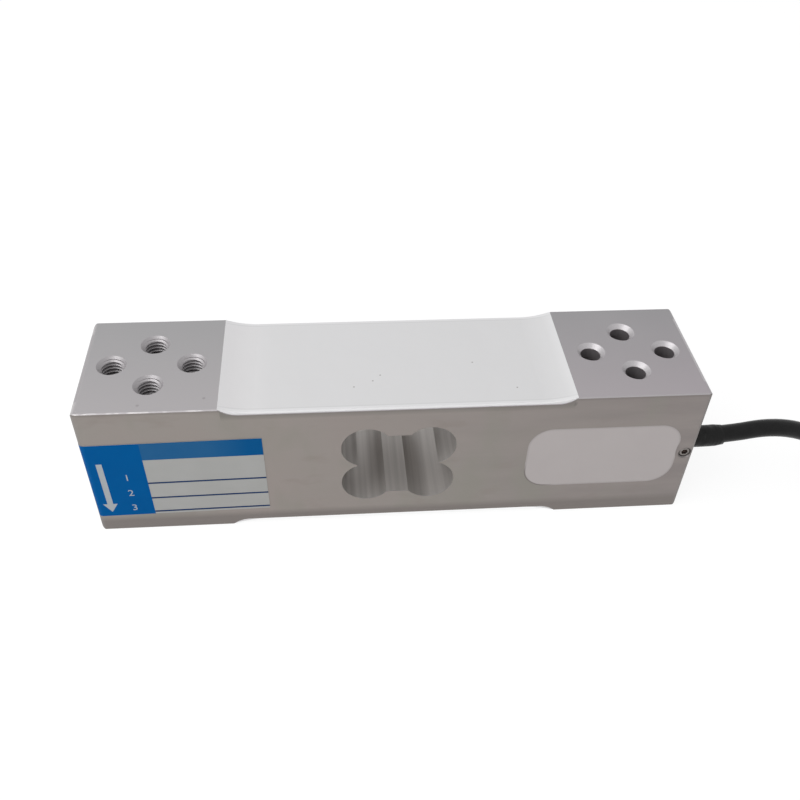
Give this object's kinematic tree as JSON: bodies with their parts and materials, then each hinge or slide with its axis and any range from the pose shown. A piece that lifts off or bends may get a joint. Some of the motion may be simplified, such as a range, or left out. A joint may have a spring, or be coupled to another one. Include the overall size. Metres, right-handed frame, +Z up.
{
  "type": "single point load cell",
  "caption": "Aluminium bending-beam load cell with coated recesses, a four-lobe through opening, crossed pairs of M6 holes, a potted pocket and a four-core cable.",
  "frame": {"origin": "middle of the beam's underside, on the plane of the lower pads", "axes": "+X along the beam towards the cable, +Y from the labelled front face to the back, +Z up through the loading pad"},
  "size_m": [0.3207, 0.0426, 0.04],
  "materials": {
    "machined_aluminium": "milled, fine matt, lightly chamfered edges",
    "white_silicone": "smooth, slightly glossy poured coat",
    "grey_potting": "smooth, matt, flush",
    "label_film": "printed film, satin",
    "steel": "bright zinc",
    "black_shrink": "smooth satin",
    "black_pvc": "smooth, slightly dusty",
    "black_nylon": "moulded satin",
    "tinned_copper": "solder dipped",
    "gauge_film": "amber film with a nickel-grey foil",
    "enamelled_copper": "enamelled",
    "green_board": "solder resist",
    "resistor_body": "chip",
    "red_core": "extruded",
    "green_core": "extruded",
    "white_core": "extruded",
    "black_core": "extruded"
  },
  "bodies": {
    "root": {"beam": "machined_aluminium", "top_coating": "white_silicone", "bottom_coating": "white_silicone", "pocket_sealant": "grey_potting", "rating_label": "label_film", "clamp_screw": "steel", "strain_sleeve": "black_shrink", "cable_jacket": "black_pvc", "cable_hank": "black_pvc", "hank_ties": "black_nylon", "end_sleeve": "black_shrink", "shield_drain": "tinned_copper", "lead_tips": "tinned_copper", "gauge_top_inner": "gauge_film", "gauge_top_outer": "gauge_film", "gauge_bottom_inner": "gauge_film", "gauge_bottom_outer": "gauge_film", "terminal_strip_top": "gauge_film", "terminal_strip_bottom": "gauge_film", "jumper_wires_top": "enamelled_copper", "jumper_wires_bottom": "enamelled_copper", "bridge_wires_top": "enamelled_copper", "bridge_wires_bottom": "enamelled_copper", "bridge_board": "green_board", "solder_pads": "tinned_copper", "trim_resistors": "resistor_body", "core_red": "red_core", "lead_red": "red_core", "core_green": "green_core", "lead_green": "green_core", "core_white": "white_core", "lead_white": "white_core", "core_black": "black_core", "lead_black": "black_core"}
  },
  "joints": []
}
